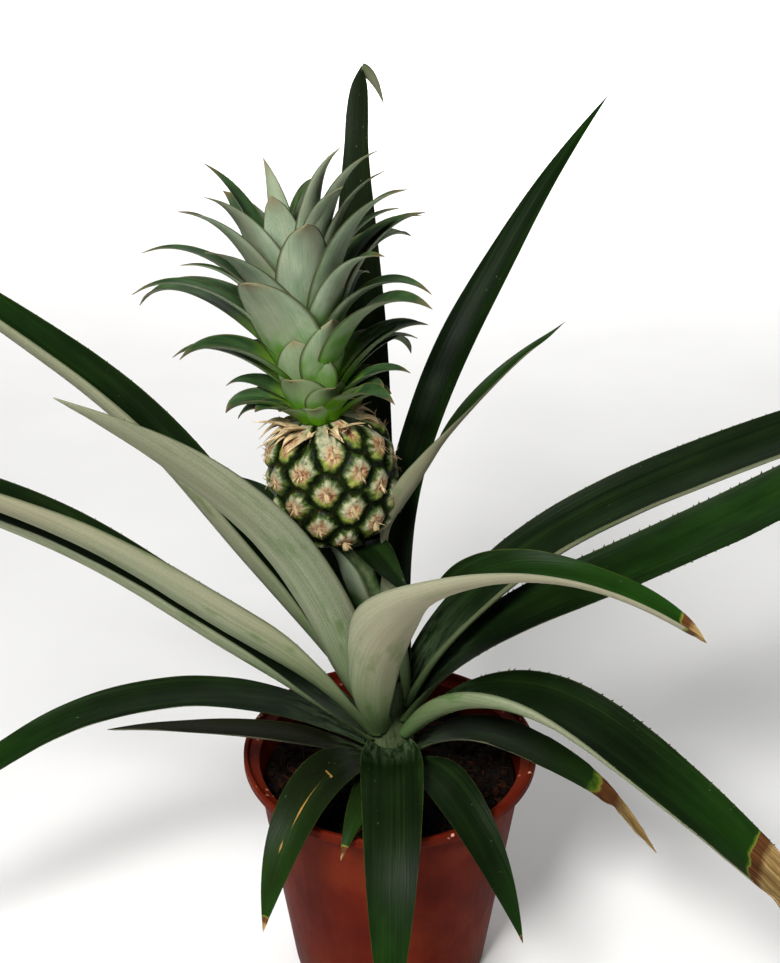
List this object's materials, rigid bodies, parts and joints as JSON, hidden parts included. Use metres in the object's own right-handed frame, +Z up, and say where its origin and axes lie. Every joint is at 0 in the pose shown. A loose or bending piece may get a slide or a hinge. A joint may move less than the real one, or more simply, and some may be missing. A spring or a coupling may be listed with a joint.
{
  "type": "potted pineapple plant",
  "caption": "Ornamental pineapple in a round nursery pot: arching strap leaves around a short stem, and a small fruit with a dense leafy crown on a leaning stalk.",
  "frame": {"origin": "centre of the pot's flat underside, on the surface that the pot stands on", "axes": "+Z up along the pot's axis, -Y towards the viewer past the front leaf, and the fruit leans to -X"},
  "size_m": [0.5423, 0.2138, 0.393],
  "materials": {
    "pot_plastic": "thin moulded nursery plastic, dull with soft highlights",
    "soil": "damp dark potting soil with fibres, fully rough",
    "stem_skin": "pale green living stem, dull",
    "stalk_skin": "green living stalk, dull",
    "rosette_leaf": "dark green waxy upper side, pale grey scurf underneath, brown dry tips",
    "stalk_bract": "pale grey-green, dull",
    "crown_leaf": "pale grey-green scurf outside, dark green inside, thin brown margin",
    "crown_heart": "fresh yellow-green, dull",
    "fruit_skin": "glossy dark green furrows, tan and yellow-green eyes",
    "dry_bract": "dry papery tan"
  },
  "bodies": {
    "root": {"pot": "pot_plastic", "potting_soil": "soil", "stem": "stem_skin", "fruit_stalk": "stalk_skin", "fruit": "fruit_skin", "dry_bract_collar": "dry_bract", "crown_core": "crown_heart", "leaf_back_tall": "rosette_leaf", "leaf_back_right": "rosette_leaf", "leaf_thin_right": "rosette_leaf", "leaf_inner_left": "rosette_leaf", "leaf_right_upper": "rosette_leaf", "leaf_left_long": "rosette_leaf", "leaf_front_left": "rosette_leaf", "leaf_right_lower": "rosette_leaf", "leaf_front_arch": "rosette_leaf", "leaf_left_middle": "rosette_leaf", "leaf_front_right_big": "rosette_leaf", "leaf_left_lower": "rosette_leaf", "leaf_front": "rosette_leaf", "leaf_left_drooping": "rosette_leaf", "leaf_left_thin": "rosette_leaf", "leaf_front_left_short": "rosette_leaf", "leaf_front_right_short": "rosette_leaf", "leaf_right_dry_tip": "rosette_leaf", "leaf_front_tiny": "rosette_leaf", "bract_under_fruit": "rosette_leaf", "bract_stalk_left": "stalk_bract", "bract_stalk_front": "stalk_bract", "crown_leaf_01": "crown_leaf", "crown_leaf_02": "crown_leaf", "crown_leaf_03": "crown_leaf", "crown_leaf_04": "crown_leaf", "crown_leaf_05": "crown_leaf", "crown_leaf_06": "crown_leaf", "crown_leaf_07": "crown_leaf", "crown_leaf_08": "crown_leaf", "crown_leaf_09": "crown_leaf", "crown_leaf_10": "crown_leaf", "crown_leaf_11": "crown_leaf", "crown_leaf_12": "crown_leaf", "crown_leaf_13": "crown_leaf", "crown_leaf_14": "crown_leaf", "crown_leaf_15": "crown_leaf", "crown_leaf_16": "crown_leaf", "crown_leaf_17": "crown_leaf", "crown_leaf_18": "crown_leaf", "crown_leaf_19": "crown_leaf", "crown_leaf_20": "crown_leaf", "crown_leaf_21": "crown_leaf", "crown_leaf_22": "crown_leaf", "crown_leaf_23": "crown_leaf", "crown_leaf_24": "crown_leaf", "crown_leaf_25": "crown_leaf", "crown_leaf_26": "crown_leaf", "crown_leaf_27": "crown_leaf", "crown_leaf_28": "crown_leaf", "crown_leaf_29": "crown_leaf", "crown_leaf_30": "crown_leaf"}
  },
  "joints": []
}
